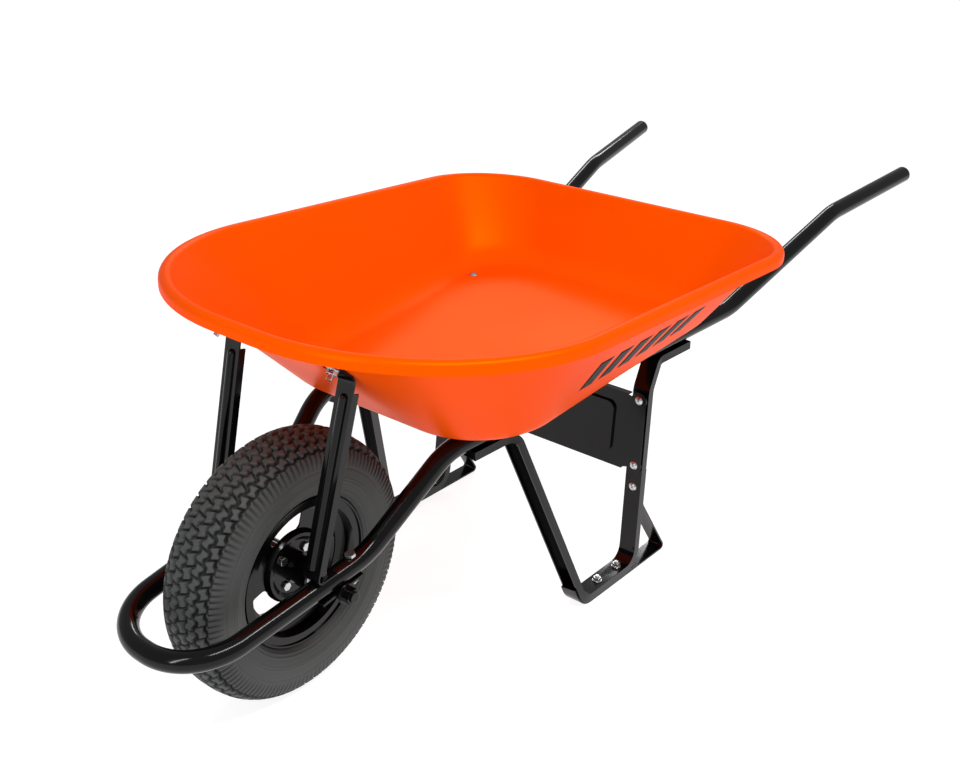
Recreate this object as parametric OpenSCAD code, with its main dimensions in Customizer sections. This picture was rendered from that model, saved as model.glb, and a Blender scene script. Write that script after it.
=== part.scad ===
// Wheelbarrow: pressed steel tray on a bent tube frame, with one pneumatic wheel.
// X points forward to the wheel, Y to the left, Z up; the origin is on the ground,
// under the middle of the whole barrow.

/* [Wheel] */
// Outside diameter of the tyre
tyre_d = 400; // [380:1:480]
// Width of the tyre
tyre_w = 102; // [90:1:122]
// Radius of the rim's outer flange
flange_r = 114; // [110:1:125]
// Width between the rim's flanges
rim_w = 70; // [62:1:78]
// Sheet thickness of the rim
rim_t = 2.5; // [2:0.5:4]
// Diameter of the axle
axle_d = 16; // [14:0.5:20]
// Outside diameter of the ball bearings
bearing_d = 35; // [32:1:40]
// Length of the hub tube
hub_len = 116; // [100:1:124]
// Windows pressed through the rim's disc
windows = 3; // [3:1:5]
// Number of bolts that hold the rim to the hub
rim_bolt_n = 4; // [3:1:6]

/* [Frame tube] */
// Outside diameter of the frame tube
tube_d = 30; // [25:0.5:36]
// Wall of the frame tube
tube_wall = 1.5; // [1:0.25:3]
// Gap between the tyre's tread and the nose loop's centre line
nose_gap = 52; // [45:1:80]
// Gap between the tyre's side and the frame tube
tyre_gap = 22; // [15:1:40]
// Slope of the front rails in degrees
nose_slope = 9.2; // [6:0.1:12]
// How far the rails have spread at the knee behind the axle
knee_out = 15; // [8:1:25]
// Height of the rails under the front of the tray
deck_front_z = 352; // [335:1:380]
// Height of the rails under the back of the tray
deck_back_z = 422; // [400:1:450]
// Half spacing of the rails under the back of the tray
deck_back_y = 225; // [210:1:250]
// Height of the handle ends
handle_z = 574; // [540:1:620]
// Half spacing of the handle ends
handle_y = 295; // [270:1:320]
// Distance from the axle back to the handle ends
handle_x = 1395; // [1300:1:1500]

/* [Tray] */
// Length of the tray over the rim
tray_len = 958; // [850:1:1000]
// Width of the tray over the rim
tray_w = 706; // [640:1:740]
// Height of the rim at the front
rim_front_z = 580; // [540:1:640]
// Height of the rim at the back
rim_back_z = 562; // [530:1:620]
// Corner radius of the rim at the front
rim_front_r = 317; // [200:1:320]
// Corner radius of the rim at the back
rim_back_r = 159; // [100:1:220]
// Thickness of the tray's sheet
tray_t = 1.5; // [1:0.25:3]
// Radius of the rolled lip
lip_r = 10.5; // [7:0.5:14]

/* [Legs and braces] */
// Width of the leg channel
leg_w = 30; // [25:1:36]
// Depth of the leg channel
leg_depth = 14; // [10:1:18]
// Thickness of the leg channel
leg_t = 2.5; // [2:0.25:4]
// Half spacing of the feet
foot_y = 210; // [190:1:240]
// Thickness of the skids
skid_t = 3; // [2:0.5:5]
// Width of the front braces
brace_w = 29; // [22:1:34]
// Height of the cross plate
plate_h = 138; // [110:1:150]

/* [Fasteners] */
// Diameter of the tray, bracket and brace bolts
bolt_d = 8; // [6:1:10]
// Diameter of the plate and skid bolts
small_bolt_d = 7; // [5:1:8]

/* [Hidden] */
$fn = 64;

// Colours
orange = [1.0, 0.36, 0.03];
gloss_black = [0.06, 0.06, 0.07];
rubber = [0.16, 0.17, 0.17];
zinc = [0.78, 0.79, 0.8];

// Clearances
seat_gap = 0.2;   // between pieces bolted face to face
hole_gap = 0.3;   // round a bolt in its hole
spin_gap = 0.05;  // radial gap of the turning bearings

// The axle is over the ground by the tyre's radius, and ahead of the origin
axle_z = tyre_d / 2;
tube_r = tube_d / 2;
nose_x = tyre_d / 2 + nose_gap;
cap_len = 5;
cap_round = 3;

// ---- frame rail centre line, left side, measured from the axle ----
nose_m = tan(nose_slope);
rail_z0 = axle_z + axle_d / 2 + seat_gap + tube_r * sqrt(1 + nose_m * nose_m);
nose_y = tyre_w / 2 + tyre_gap + tube_r;
knee_x = -54;
deck_front_x = -190;
deck_front_y = nose_y + knee_out + 27;
deck_back_x = -840;
bend_x = -1153;
bend_y = deck_back_y + 35.5;
bend_z = handle_z - 36;
function rail_nose_z(x) = rail_z0 - x * nose_m;
function rail_nose_y(x) = nose_y + knee_out * (nose_x - x) / (nose_x - knee_x);
nose = [nose_x, nose_y, rail_nose_z(nose_x)];
knee = [knee_x, rail_nose_y(knee_x), rail_nose_z(knee_x)];
deck_front = [deck_front_x, deck_front_y, deck_front_z];
deck_back = [deck_back_x, deck_back_y, deck_back_z];
handle_bend = [bend_x, bend_y, bend_z];
handle_end = [-handle_x, handle_y, handle_z];
nose_bend_r = nose_y;
deck_m = (deck_back_z - deck_front_z) / (deck_front_x - deck_back_x);
deck_k = sqrt(1 + deck_m * deck_m);
function deck_z(x) = deck_front_z + deck_m * (deck_front_x - x);
function deck_y(x) = deck_front_y
    + (deck_back_y - deck_front_y) * (deck_front_x - x) / (deck_front_x - deck_back_x);

// The origin sits under the middle of the length, handle cap to nose
function unit(v) = v / norm(v);
handle_dir = unit(handle_end - handle_bend);
cap_ring = handle_end + handle_dir * (seat_gap + cap_len - cap_round);
cap_back = cap_ring[0] - cap_round
    - (tube_r - cap_round) * sqrt(1 - handle_dir[0] * handle_dir[0]);
axle_x = -(nose_x + tube_r + cap_back) / 2;
module at_axle() { translate([axle_x, 0, 0]) children(); }
module left_and_right() { children(); mirror([0, 1, 0]) children(); }

// ---- small helpers ----
module frame_at(o, x, y, z) {
    multmatrix([[x[0], y[0], z[0], o[0]], [x[1], y[1], z[1], o[1]],
        [x[2], y[2], z[2], o[2]], [0, 0, 0, 1]]) children();
}
// A cylinder from point a towards b, of length l
module rod(a, dir, l, r) {
    z = unit(dir);
    x = unit(cross(abs(z[2]) < 0.9 ? [0, 0, 1] : [1, 0, 0], z));
    frame_at(a, x, cross(z, x), z) cylinder(r = r, h = l);
}
// Tangent length of a bend of radius r between directions d and e
function bend_len(d, e, r) = r * tan(acos(max(-1, min(1, d * e))) / 2);
// Bent round bar through the points p, with bend radii br at the inner ones.
// The straights run 1 mm into the bends, which are swelled by bend_swell.
bend_swell = 0.25;
module bent_bar(p, br, r) {
    n = len(p);
    for (i = [0 : n - 2]) {
        d = unit(p[i + 1] - p[i]);
        start = i == 0 ? 0 : bend_len(unit(p[i] - p[i - 1]), d, br[i - 1]) - 1;
        stop = i == n - 2 ? 0 : bend_len(d, unit(p[i + 2] - p[i + 1]), br[i]) - 1;
        rod(p[i] + d * start, d, norm(p[i + 1] - p[i]) - start - stop, r);
    }
    for (i = [1 : n - 2]) {
        d = unit(p[i] - p[i - 1]);
        e = unit(p[i + 1] - p[i]);
        turn = acos(d * e);
        centre = p[i] + unit(e - d) * br[i - 1] / cos(turn / 2);
        x = unit(p[i] - d * bend_len(d, e, br[i - 1]) - centre);
        frame_at(centre, x, d, cross(x, d)) rotate_extrude(angle = turn)
            translate([br[i - 1], 0]) circle(r = r + bend_swell);
    }
}

// Points of a path with its corners rounded, for swept strips
function arc_points(a, b, c, r, n) = let(
        d = unit(b - a), e = unit(c - b), turn = acos(d * e),
        o = b + unit(e - d) * r / cos(turn / 2),
        x = unit(b - d * bend_len(d, e, r) - o))
    [for (k = [0 : n]) o + r * (cos(turn * k / n) * x + sin(turn * k / n) * d)];
function rounded(p, r, n) = let(m = len(p)) concat([p[0]],
    [for (i = [1 : m - 2]) each arc_points(p[i - 1], p[i], p[i + 1], r[i - 1], n)],
    [p[m - 1]]);
// A strip section carried along a path, its width kept level across
module swept_strip(path, section, sides_y = []) {
    m = len(path);
    s = len(section);
    pts = [for (i = [0 : m - 1]) let(
            t = unit(path[min(i + 1, m - 1)] - path[max(i - 1, 0)]),
            side = i < len(sides_y) ? sides_y[i] : [0, 1, 0],
            w = unit(side - t * (t * side)),
            up = cross(t, w))
        each [for (q = section) path[i] + q[0] * w + q[1] * up]];
    sides = [for (i = [0 : m - 2], j = [0 : s - 1]) let(k = (j + 1) % s)
        each [[i * s + j, (i + 1) * s + k, i * s + k],
            [i * s + j, (i + 1) * s + j, (i + 1) * s + k]]];
    caps = [[for (j = [0 : s - 1]) j], [for (j = [s - 1 : -1 : 0]) (m - 1) * s + j]];
    polyhedron(pts, concat(sides, caps), convexity = 8);
}

// ---- fasteners: each is drawn along +Z, the head's seat at z = 0 ----
module dome_head(d) {
    r = d * 1.05;
    h = d * 0.5;
    big = (r * r + h * h) / (2 * h);
    intersection() {
        translate([0, 0, h - big]) sphere(r = big);
        cylinder(r = r + 1, h = h + 1);
    }
}
module dome_bolt(d, l) {
    dome_head(d);
    translate([0, 0, -l]) cylinder(d = d, h = l + 0.1);
}
module hex_bolt(d, l) {
    cylinder(r = d, h = d * 0.6, $fn = 6);
    translate([0, 0, -l]) cylinder(d = d, h = l + 0.1);
}
module hex_nut(d, size = 1) {
    difference() {
        union() {
            cylinder(r = d * 1.15 * size, h = 1.2);
            translate([0, 0, 1.2]) cylinder(r = d * 0.95 * size, h = d * 0.75, $fn = 6);
        }
        translate([0, 0, -1]) cylinder(r = d / 2 + seat_gap, h = d + 5);
    }
}

// Directions square to the tray's floor and to the front rails
deck_up = unit([deck_m, 0, 1]);
nose_up = unit([nose_m, 0, 1]);
module on_deck(x, h) {
    frame_at([x, deck_y(x), deck_z(x)] + deck_up * h, cross([0, 1, 0], deck_up), [0, 1, 0], deck_up)
        children();
}
module on_nose(x, h) {
    frame_at([x, rail_nose_y(x), rail_nose_z(x)] + nose_up * h,
        cross([0, 1, 0], nose_up), [0, 1, 0], nose_up) children();
}
tray_bolt_x = [-255, -672];
bracket_bolt_x = [-25, 28];
brace_foot_x = 50;

// Rods that clear the bolts through the deck and the front rails, left side
module deck_holes() {
    for (x = tray_bolt_x) on_deck(x, -80) cylinder(r = bolt_d / 2 + hole_gap, h = 160);
}
module nose_holes() {
    for (x = bracket_bolt_x) on_nose(x, -60) cylinder(r = bolt_d / 2 + hole_gap, h = 120);
}

// ---- tray ----
tray_front_x = 90;
floor_front_x = -185;
floor_back_x = -778;
floor_front_w = 218;
floor_back_w = 240;
floor_front_r = 120;
floor_back_r = 105;
fold = 34;
corner_n = 14;
tray_back_x = tray_front_x - tray_len;
lip_w = 2 * lip_r;
// Floor's underside lies on the rails
function floor_z(x) = deck_z(x) + (tube_r + seat_gap + tray_t) * deck_k;
function rim_z(x) = rim_front_z + (rim_back_z - rim_front_z) * (tray_front_x - x) / tray_len;
// Left half of a plan outline: arcs at the front and back corners
function half_outline(xf, xb, wf, wb, rf, rb) = let(
        lean = atan((wb - wf) / (xf - xb)),
        cf = xf - rf,
        cb = xb + rb,
        yf = wf - (rf - (xf - cf) * sin(lean)) / cos(lean),
        yb = wf + (-rb + (xf - cb) * sin(lean)) / cos(lean))
    concat(
        [for (k = [0 : corner_n]) let(a = (90 - lean) * k / corner_n)
            [cf + rf * cos(a), yf + rf * sin(a)]],
        [for (k = [0 : corner_n]) let(a = 90 - lean + (90 + lean) * k / corner_n)
            [cb + rb * cos(a), yb + rb * sin(a)]]);
function outline(xf, xb, wf, wb, rf, rb) = let(h = half_outline(xf, xb, wf, wb, rf, rb))
    concat(h, [for (i = [len(h) - 1 : -1 : 0]) [h[i][0], -h[i][1]]]);
rim_line = outline(tray_front_x - lip_w, tray_back_x + lip_w, tray_w / 2 - lip_w,
    tray_w / 2 - lip_w, rim_front_r - lip_w, rim_back_r - lip_w);
floor_line = outline(floor_front_x, floor_back_x, floor_front_w, floor_back_w,
    floor_front_r, floor_back_r);
ring_n = len(rim_line);
// Direction pointing out of the outline at point i
function out_dir(i) = let(
        a = rim_line[(i + ring_n - 1) % ring_n], b = rim_line[(i + 1) % ring_n],
        t = (b - a) / norm(b - a))
    [t[1], -t[0], 0];
fold_steps = 4;
lip_steps = 7;
lip_from = 150;
lip_drop = 8;
function foot_pt(i) = [floor_line[i][0], floor_line[i][1], floor_z(floor_line[i][0])];
function rim_pt(i) = [rim_line[i][0], rim_line[i][1], rim_z(rim_line[i][0])];
function in_pt(i) = let(c = [(floor_front_x + floor_back_x) / 2, 0],
        q = floor_line[i] + unit(c - floor_line[i]) * fold)
    [q[0], q[1], floor_z(q[0])];
function profile_pt(k, i) =
    k <= fold_steps ? let(
            s = k / fold_steps,
            wall = foot_pt(i) + unit(rim_pt(i) - foot_pt(i)) * fold)
        (1 - s) * (1 - s) * in_pt(i) + 2 * s * (1 - s) * foot_pt(i) + s * s * wall
    : k <= fold_steps + 1 + lip_steps ? let(
            a = lip_from * (1 - (k - fold_steps - 1) / lip_steps))
        rim_pt(i) + out_dir(i) * (lip_r + lip_r * cos(a) - lip_r * (1 + cos(lip_from)))
            + [0, 0, lip_r * sin(a) - lip_r * sin(lip_from)]
    : profile_pt(k - 1, i) - [0, 0, lip_drop];
last_k = fold_steps + 2 + lip_steps;
// Unit normal of the inner skin, pointing to the underside
function skin_normal(k, i) = k == 0 ? [-deck_m, 0, -1] / deck_k
    : unit(cross(profile_pt(k, (i + 1) % ring_n) - profile_pt(k, (i + ring_n - 1) % ring_n),
        profile_pt(min(k + 1, last_k), i) - profile_pt(k - 1, i)));
module tray_skin() {
    rows = last_k + 1;
    inner = [for (k = [0 : last_k], i = [0 : ring_n - 1]) profile_pt(k, i)];
    outer = [for (k = [0 : last_k], i = [0 : ring_n - 1])
        profile_pt(k, i) + skin_normal(k, i) * tray_t];
    base = rows * ring_n;
    function quad(a, b, c, d) = [[a, b, c], [a, c, d]];
    up = [for (k = [0 : last_k - 1], i = [0 : ring_n - 1]) let(j = (i + 1) % ring_n)
        each quad(k * ring_n + i, k * ring_n + j, (k + 1) * ring_n + j, (k + 1) * ring_n + i)];
    down = [for (f = up) [base + f[2], base + f[1], base + f[0]]];
    edge = [for (i = [0 : ring_n - 1]) let(j = (i + 1) % ring_n, r = last_k * ring_n)
        each quad(r + i, r + j, base + r + j, base + r + i)];
    lids = [[for (i = [0 : ring_n - 1]) ring_n - 1 - i], [for (i = [0 : ring_n - 1]) base + i]];
    polyhedron(concat(inner, outer), concat(up, down, edge, lids), convexity = 10);
}
// The braces bolt to the sloping front wall, a little way round its corner
function front_arc(xf, xb, wf, wb, rf) = let(lean = atan((wb - wf) / (xf - xb)))
    [xf - rf, wf - rf * (1 - sin(lean)) / cos(lean), rf, 90 - lean];
floor_arc = front_arc(floor_front_x, floor_back_x, floor_front_w, floor_back_w, floor_front_r);
rim_arc = front_arc(tray_front_x - lip_w, tray_back_x + lip_w, tray_w / 2 - lip_w,
    tray_w / 2 - lip_w, rim_front_r - lip_w);
function on_arc(f, share) =
    [f[0] + f[2] * cos(share * f[3]), f[1] + f[2] * sin(share * f[3])];
// Wall point at a share of the way round the front corner, and of the way up
function wall_at(share, up) = let(f = on_arc(floor_arc, share), r = on_arc(rim_arc, share))
    (1 - up) * [f[0], f[1], floor_z(f[0])] + up * [r[0], r[1], rim_z(r[0])];
brace_share = 0.1355;
bolt_up = 0.8;
wall_dir = unit(wall_at(brace_share, 1) - wall_at(brace_share, 0));
wall_down = unit(cross(wall_at(brace_share + 0.01, bolt_up)
    - wall_at(brace_share - 0.01, bolt_up), wall_dir));
wall_side = cross(wall_dir, wall_down);
module wall_bolt(h) {
    frame_at(wall_at(brace_share, bolt_up) + wall_down * h, wall_dir, wall_side * -1, wall_down)
        children();
}

module tray() {
    color(orange) at_axle() difference() {
        tray_skin();
        left_and_right() {
            deck_holes();
            wall_bolt(-20) cylinder(r = bolt_d / 2 + hole_gap, h = 40);
        }
    }
}

// ---- frame tube and its caps ----
rail = [handle_end, handle_bend, deck_back, deck_front, knee, nose];
rail_r = [150, 150, 90, 100, nose_bend_r];
function flip(p) = [p[0], -p[1], p[2]];
whole_rail = concat(rail, [for (i = [len(rail) - 1 : -1 : 0]) flip(rail[i])]);
whole_r = concat(rail_r, [for (i = [len(rail_r) - 1 : -1 : 0]) rail_r[i]]);
module frame_tube() {
    color(gloss_black) at_axle() difference() {
        bent_bar(whole_rail, whole_r, tube_r);
        bent_bar(whole_rail, whole_r, tube_r - tube_wall);
        left_and_right() {
            deck_holes();
            nose_holes();
        }
    }
}
module handle_cap_body() {
    z = handle_dir;
    x = unit(cross([0, 0, 1], z));
    stem_r = tube_r - tube_wall - 0.1;
    frame_at(handle_end + z * seat_gap, x, cross(z, x), z) {
        rotate_extrude() intersection() {
            union() {
                square([tube_r - cap_round, cap_len]);
                square([tube_r, cap_len - cap_round]);
                translate([tube_r - cap_round, cap_len - cap_round]) circle(r = cap_round);
            }
            square([tube_r, cap_len]);
        }
        translate([0, 0, -20]) difference() {
            cylinder(r = stem_r, h = 20.1);
            translate([0, 0, -1]) cylinder(r = stem_r - 2, h = 19);
        }
    }
}
module handle_cap_left() { color(rubber) at_axle() handle_cap_body(); }
module handle_cap_right() { color(rubber) at_axle() mirror([0, 1, 0]) handle_cap_body(); }

// ---- front braces ----
brace_t = 2.5;
brace_depth = 12;
bead_r = 6;
brace_top_up = 0.915;
brace_bend_up = 0.71;
brace_lift = tray_t + 3 * seat_gap + brace_t;
function wall_pt(up) = wall_at(brace_share, up) + wall_down * brace_lift;
function nose_pt(x, h) = [x, rail_nose_y(x), rail_nose_z(x)] + nose_up * h;
brace_line = [wall_pt(brace_top_up), wall_pt(brace_bend_up),
    nose_pt(brace_foot_x, tube_r + seat_gap), nose_pt(12, tube_r + seat_gap)];
brace_path = rounded(brace_line, [10, 8], 4);
// The tab lies flush with the wall and the strap turns level within its first bend
brace_sides = [for (i = [0 : len(brace_path) - 1])
    let(q = min(1, max(0, i - 1) / 4)) wall_side * (1 - q) + [0, 1, 0] * q];
function strap(w, t) = [[-w / 2, -t], [w / 2, -t], [w / 2, 0], [-w / 2, 0]];
function channel(w, d, t) = [[-w / 2, d], [-w / 2, 0], [w / 2, 0], [w / 2, d],
    [w / 2 - t, d], [w / 2 - t, t], [t - w / 2, t], [t - w / 2, d]];
module front_brace_body() {
    a = brace_line[1] + (brace_line[2] - brace_line[1]) * 0.06;
    b = brace_line[2] + (brace_line[1] - brace_line[2]) * 0.06;
    dir = unit(b - a);
    face = cross(dir, unit([0, 1, 0] - dir * dir[1])) * 0.6;
    flange_y = (brace_w - brace_t) / 2 - 0.3;
    difference() {
        union() {
            swept_strip(brace_path, strap(brace_w, brace_t), brace_sides);
            for (side = [-1, 1]) swept_strip([a - face, b - face],
                [for (q = strap(brace_t, brace_depth)) q + [side * flange_y, 0]]);
            rod(a + dir * 8, dir, norm(b - a) - 14, bead_r);
            translate(a + dir * 8) sphere(r = bead_r - bend_swell);
        }
        nose_holes();
        wall_bolt(-20) cylinder(r = bolt_d / 2 + hole_gap, h = 40);
    }
}
module front_brace_left() { color(gloss_black) at_axle() front_brace_body(); }
module front_brace_right() { color(gloss_black) at_axle() mirror([0, 1, 0]) front_brace_body(); }
module brace_bolts() {
    color(zinc) at_axle() left_and_right()
        wall_bolt(-2.5 * seat_gap) mirror([0, 0, 1]) dome_bolt(bolt_d, 20);
}
module brace_nuts() {
    color(zinc) at_axle() left_and_right()
        wall_bolt(brace_lift + seat_gap) hex_nut(bolt_d);
}

// ---- legs: one channel bent into a U, its open side outwards ----
seat_drop = (tube_r + seat_gap) * deck_k;
function seat_pt(x) = [x, deck_y(x), deck_z(x) - seat_drop];
foot_z = skid_t + seat_gap + leg_depth;
strut_x = -607;
strut_top_z = 334;
strut_lean = 5.3;
leg_bend_r = 24;
leg_line = [seat_pt(-232), seat_pt(-320), [-458, foot_y, foot_z], [strut_x + 2, foot_y, foot_z],
    [strut_x + 2 - strut_lean, foot_y - 10, strut_top_z], seat_pt(-640), seat_pt(-722)];
leg_path = rounded(leg_line, [32, leg_bend_r, leg_bend_r, 30, leg_bend_r], 6);
plate_z = [197, 315];
skid_bolt_z = 156;
skid_bolt_x = [-512, -572];
function strut_y(z) = foot_y - 10 * (z - foot_z) / (strut_top_z - foot_z);
function strut_front(z) = strut_x + 2 - strut_lean * (z - foot_z) / (strut_top_z - foot_z);
function strut_back(z) = strut_front(z) - leg_depth - seat_gap;
module strut_hole(z) {
    translate([strut_x - 50, strut_y(z), z]) rotate([0, 90, 0])
        cylinder(r = small_bolt_d / 2 + hole_gap, h = 100);
}
module foot_holes(r) {
    for (x = skid_bolt_x) translate([x, foot_y, -5]) cylinder(r = r, h = 60);
}
module leg_body() {
    difference() {
        swept_strip(leg_path, channel(leg_w, leg_depth, leg_t));
        deck_holes();
        for (z = plate_z) strut_hole(z);
        strut_hole(skid_bolt_z);
        foot_holes(small_bolt_d / 2 + hole_gap);
    }
}
module leg_left() { color(gloss_black) at_axle() leg_body(); }
module leg_right() { color(gloss_black) at_axle() mirror([0, 1, 0]) leg_body(); }

// ---- skids: a strap down the back of the leg, round the toe and under the foot ----
skid_w = 28;
toe_x = -708;
// Its front end follows the leg's lower front bend, one seat_gap outside
front_dir = unit(leg_line[1] - leg_line[2]);
front_turn = acos(front_dir[0]);
skid_bend_r = leg_bend_r + leg_depth + seat_gap;
skid_front = [leg_line[2][0] + (leg_depth + seat_gap) * tan(front_turn / 2), foot_y, skid_t];
skid_line = [[strut_back(187), strut_y(187), 187], [strut_back(120), strut_y(120), 120],
    [toe_x, foot_y + 2, skid_t], skid_front,
    skid_front + front_dir * (skid_bend_r * tan(front_turn / 2) + 12)];
skid_path = rounded(skid_line, [14, 4, skid_bend_r], 6);
module countersink(x, grow) {
    translate([x, foot_y, -0.5]) cylinder(r = small_bolt_d * 0.95 + grow, h = 0.51);
    translate([x, foot_y, 0]) cylinder(r1 = small_bolt_d * 0.95 + grow,
        r2 = small_bolt_d / 2 + grow, h = skid_t);
}
module skid_body() {
    difference() {
        swept_strip(skid_path, strap(skid_w, skid_t));
        strut_hole(skid_bolt_z);
        for (x = skid_bolt_x) countersink(x, hole_gap);
        foot_holes(small_bolt_d / 2 + hole_gap);
    }
}
module skid_left() { color(gloss_black) at_axle() skid_body(); }
module skid_right() { color(gloss_black) at_axle() mirror([0, 1, 0]) skid_body(); }
module along_x(x, z) {
    translate([x, strut_y(z), z]) rotate([0, 90, 0]) children();
}
module skid_bolts() {
    color(zinc) at_axle() left_and_right() {
        along_x(strut_front(skid_bolt_z) + seat_gap, skid_bolt_z) dome_bolt(small_bolt_d, 34);
        for (x = skid_bolt_x) intersection() {
            union() {
                countersink(x, 0);
                translate([x, foot_y, 0]) cylinder(d = small_bolt_d, h = foot_z + 10);
            }
            translate([x, foot_y, 0.3]) cylinder(r = 20, h = 60);
        }
    }
}
module skid_nuts() {
    color(zinc) at_axle() left_and_right() {
        along_x(strut_back(skid_bolt_z) - skid_t - 2 * seat_gap, skid_bolt_z) mirror([0, 0, 1])
            hex_nut(small_bolt_d);
        for (x = skid_bolt_x) translate([x, foot_y, foot_z + seat_gap]) hex_nut(small_bolt_d);
    }
}

// ---- cross plate between the back struts ----
plate_t = 2;
plate_gap = seat_gap + 2;
plate_low = 184;
plate_side = strut_y(plate_low) - 24;
panel_edge = 22;
panel_rise = 5;
module rounded_plate(w, h, r) {
    square([w - 2 * r, h], center = true);
    square([w, h - 2 * r], center = true);
    for (a = [-1, 1], b = [-1, 1]) translate([a * (w / 2 - r), b * (h / 2 - r)]) circle(r = r);
}
module cross_plate() {
    mid = plate_low + plate_h / 2;
    w = 2 * (plate_side - panel_edge);
    h = plate_h - 2 * panel_edge;
    color(gloss_black) at_axle() difference() {
        translate([strut_front(mid) + plate_gap, 0, mid]) rotate([90, 0, 90]) {
            difference() {
                union() {
                    linear_extrude(plate_t) {
                        square([2 * plate_side, plate_h], center = true);
                        for (z = plate_z, s = [-1, 1]) translate([s * strut_y(z), z - mid])
                            circle(r = 14);
                        for (s = [-1, 1]) polygon([[s * (plate_side - 1), plate_z[0] - mid - 10],
                            [s * (strut_y(plate_z[0]) + 13), plate_z[0] - mid],
                            [s * (strut_y(plate_z[1]) + 13), plate_z[1] - mid],
                            [s * (plate_side - 1), plate_z[1] - mid + 5]]);
                    }
                    linear_extrude(plate_t + panel_rise) rounded_plate(w, h, 14);
                    for (s = [-1, 1]) translate([-plate_side, s * (plate_h - plate_t) / 2
                        - plate_t / 2, -10]) cube([2 * plate_side, plate_t, 10.5]);
                }
                translate([0, 0, -1]) linear_extrude(panel_rise + 1)
                    rounded_plate(w - 2 * plate_t, h - 2 * plate_t, 12);
            }
        }
        left_and_right() for (z = plate_z) strut_hole(z);
    }
}
plate_face = strut_front(plate_low + plate_h / 2) + plate_gap + plate_t;
module plate_bolts() {
    color(zinc) at_axle() left_and_right() for (z = plate_z)
        along_x(plate_face + seat_gap, z) dome_bolt(small_bolt_d, 18);
}
module plate_nuts() {
    color(zinc) at_axle() left_and_right() for (z = plate_z)
        along_x(strut_front(z) - leg_t - seat_gap - 0.2, z) mirror([0, 0, 1])
            hex_nut(small_bolt_d, 0.9);
}

// ---- tray bolts, through tray, rail and leg ----
tray_bolt_len = tray_t + 2 * seat_gap + tube_d + leg_t + 12;
module tray_bolts() {
    color(zinc) at_axle() left_and_right() for (x = tray_bolt_x)
        on_deck(x, tube_r + 2 * seat_gap + tray_t) dome_bolt(bolt_d, tray_bolt_len);
}
module tray_nuts() {
    color(zinc) at_axle() left_and_right() for (x = tray_bolt_x)
        on_deck(x, -(tube_r + 2 * seat_gap + leg_t)) mirror([0, 0, 1]) hex_nut(bolt_d);
}

// ---- axle and its brackets under the front rails ----
bracket_w = 28;
bracket_t = 4;
axle_r = axle_d / 2;
bracket_y = rail_nose_y(0);
wing_top = (axle_r + seat_gap) / sqrt(1 + nose_m * nose_m) - 0.1;
module axle_bracket_body() {
    difference() {
        frame_at([0, bracket_y + bracket_w / 2, axle_z], cross([0, 1, 0], nose_up), nose_up,
            [0, -1, 0]) linear_extrude(bracket_w) difference() {
            union() {
                translate([-38, wing_top - bracket_t]) square([80, bracket_t]);
                circle(r = axle_r + seat_gap + bracket_t);
            }
            circle(r = axle_r + 0.05);
            translate([-50, wing_top]) square([100, 30]);
        }
        nose_holes();
    }
}
module axle_bracket_left() { color(gloss_black) at_axle() axle_bracket_body(); }
module axle_bracket_right() { color(gloss_black) at_axle() mirror([0, 1, 0]) axle_bracket_body(); }
module bracket_bolts() {
    color(zinc) at_axle() left_and_right() {
        on_nose(bracket_bolt_x[0], tube_r + 3 * seat_gap) hex_bolt(bolt_d, tube_d + bracket_t + 13);
        on_nose(bracket_bolt_x[1], tube_r + 2 * seat_gap + brace_t)
            hex_bolt(bolt_d, tube_d + bracket_t + brace_t + 13);
    }
}
module bracket_nuts() {
    color(zinc) at_axle() left_and_right() for (x = bracket_bolt_x)
        on_nose(x, -(tube_r + 2 * seat_gap + bracket_t + 0.1)) mirror([0, 0, 1]) hex_nut(bolt_d);
}
washer_y = bracket_y + bracket_w / 2 + seat_gap;
washer_t = 2;
axle_nut_h = axle_d * 0.75 + 1.2;
axle_nut_size = 0.8;
axle_half = washer_y + washer_t + axle_nut_h + 3;
// Turned pieces stand on the axle: children are drawn along Y from y
module across(y) { translate([0, y, axle_z]) rotate([-90, 0, 0]) children(); }
module ring(outer, inner, h) {
    difference() {
        cylinder(r = outer, h = h);
        translate([0, 0, -1]) cylinder(r = inner, h = h + 2);
    }
}
module axle() {
    color(gloss_black) at_axle() across(-axle_half) cylinder(r = axle_r, h = 2 * axle_half);
}
module axle_nuts() {
    color(gloss_black) at_axle() left_and_right()
        across(washer_y + washer_t + seat_gap) hex_nut(axle_d, axle_nut_size);
}
module axle_washers() {
    color(gloss_black) at_axle() left_and_right()
        across(washer_y) ring(axle_r + 7, axle_r + 0.1, washer_t);
}
bearing_w = 12;
bearing_y = hub_len / 2 - bearing_w - 1;
inner_ring_end = hub_len / 2 + 2;
inner_ring_r = axle_r + 4;
spacer_end = bracket_y - bracket_w / 2 - seat_gap;
module axle_spacers() {
    color(zinc) at_axle() left_and_right() across(inner_ring_end + seat_gap)
        ring(axle_r + 3, axle_r + 0.1, spacer_end - inner_ring_end - seat_gap);
}
module bearing_inner_rings() {
    color(zinc) at_axle() left_and_right()
        across(bearing_y) ring(inner_ring_r, axle_r + 0.05, inner_ring_end - bearing_y);
}

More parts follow.
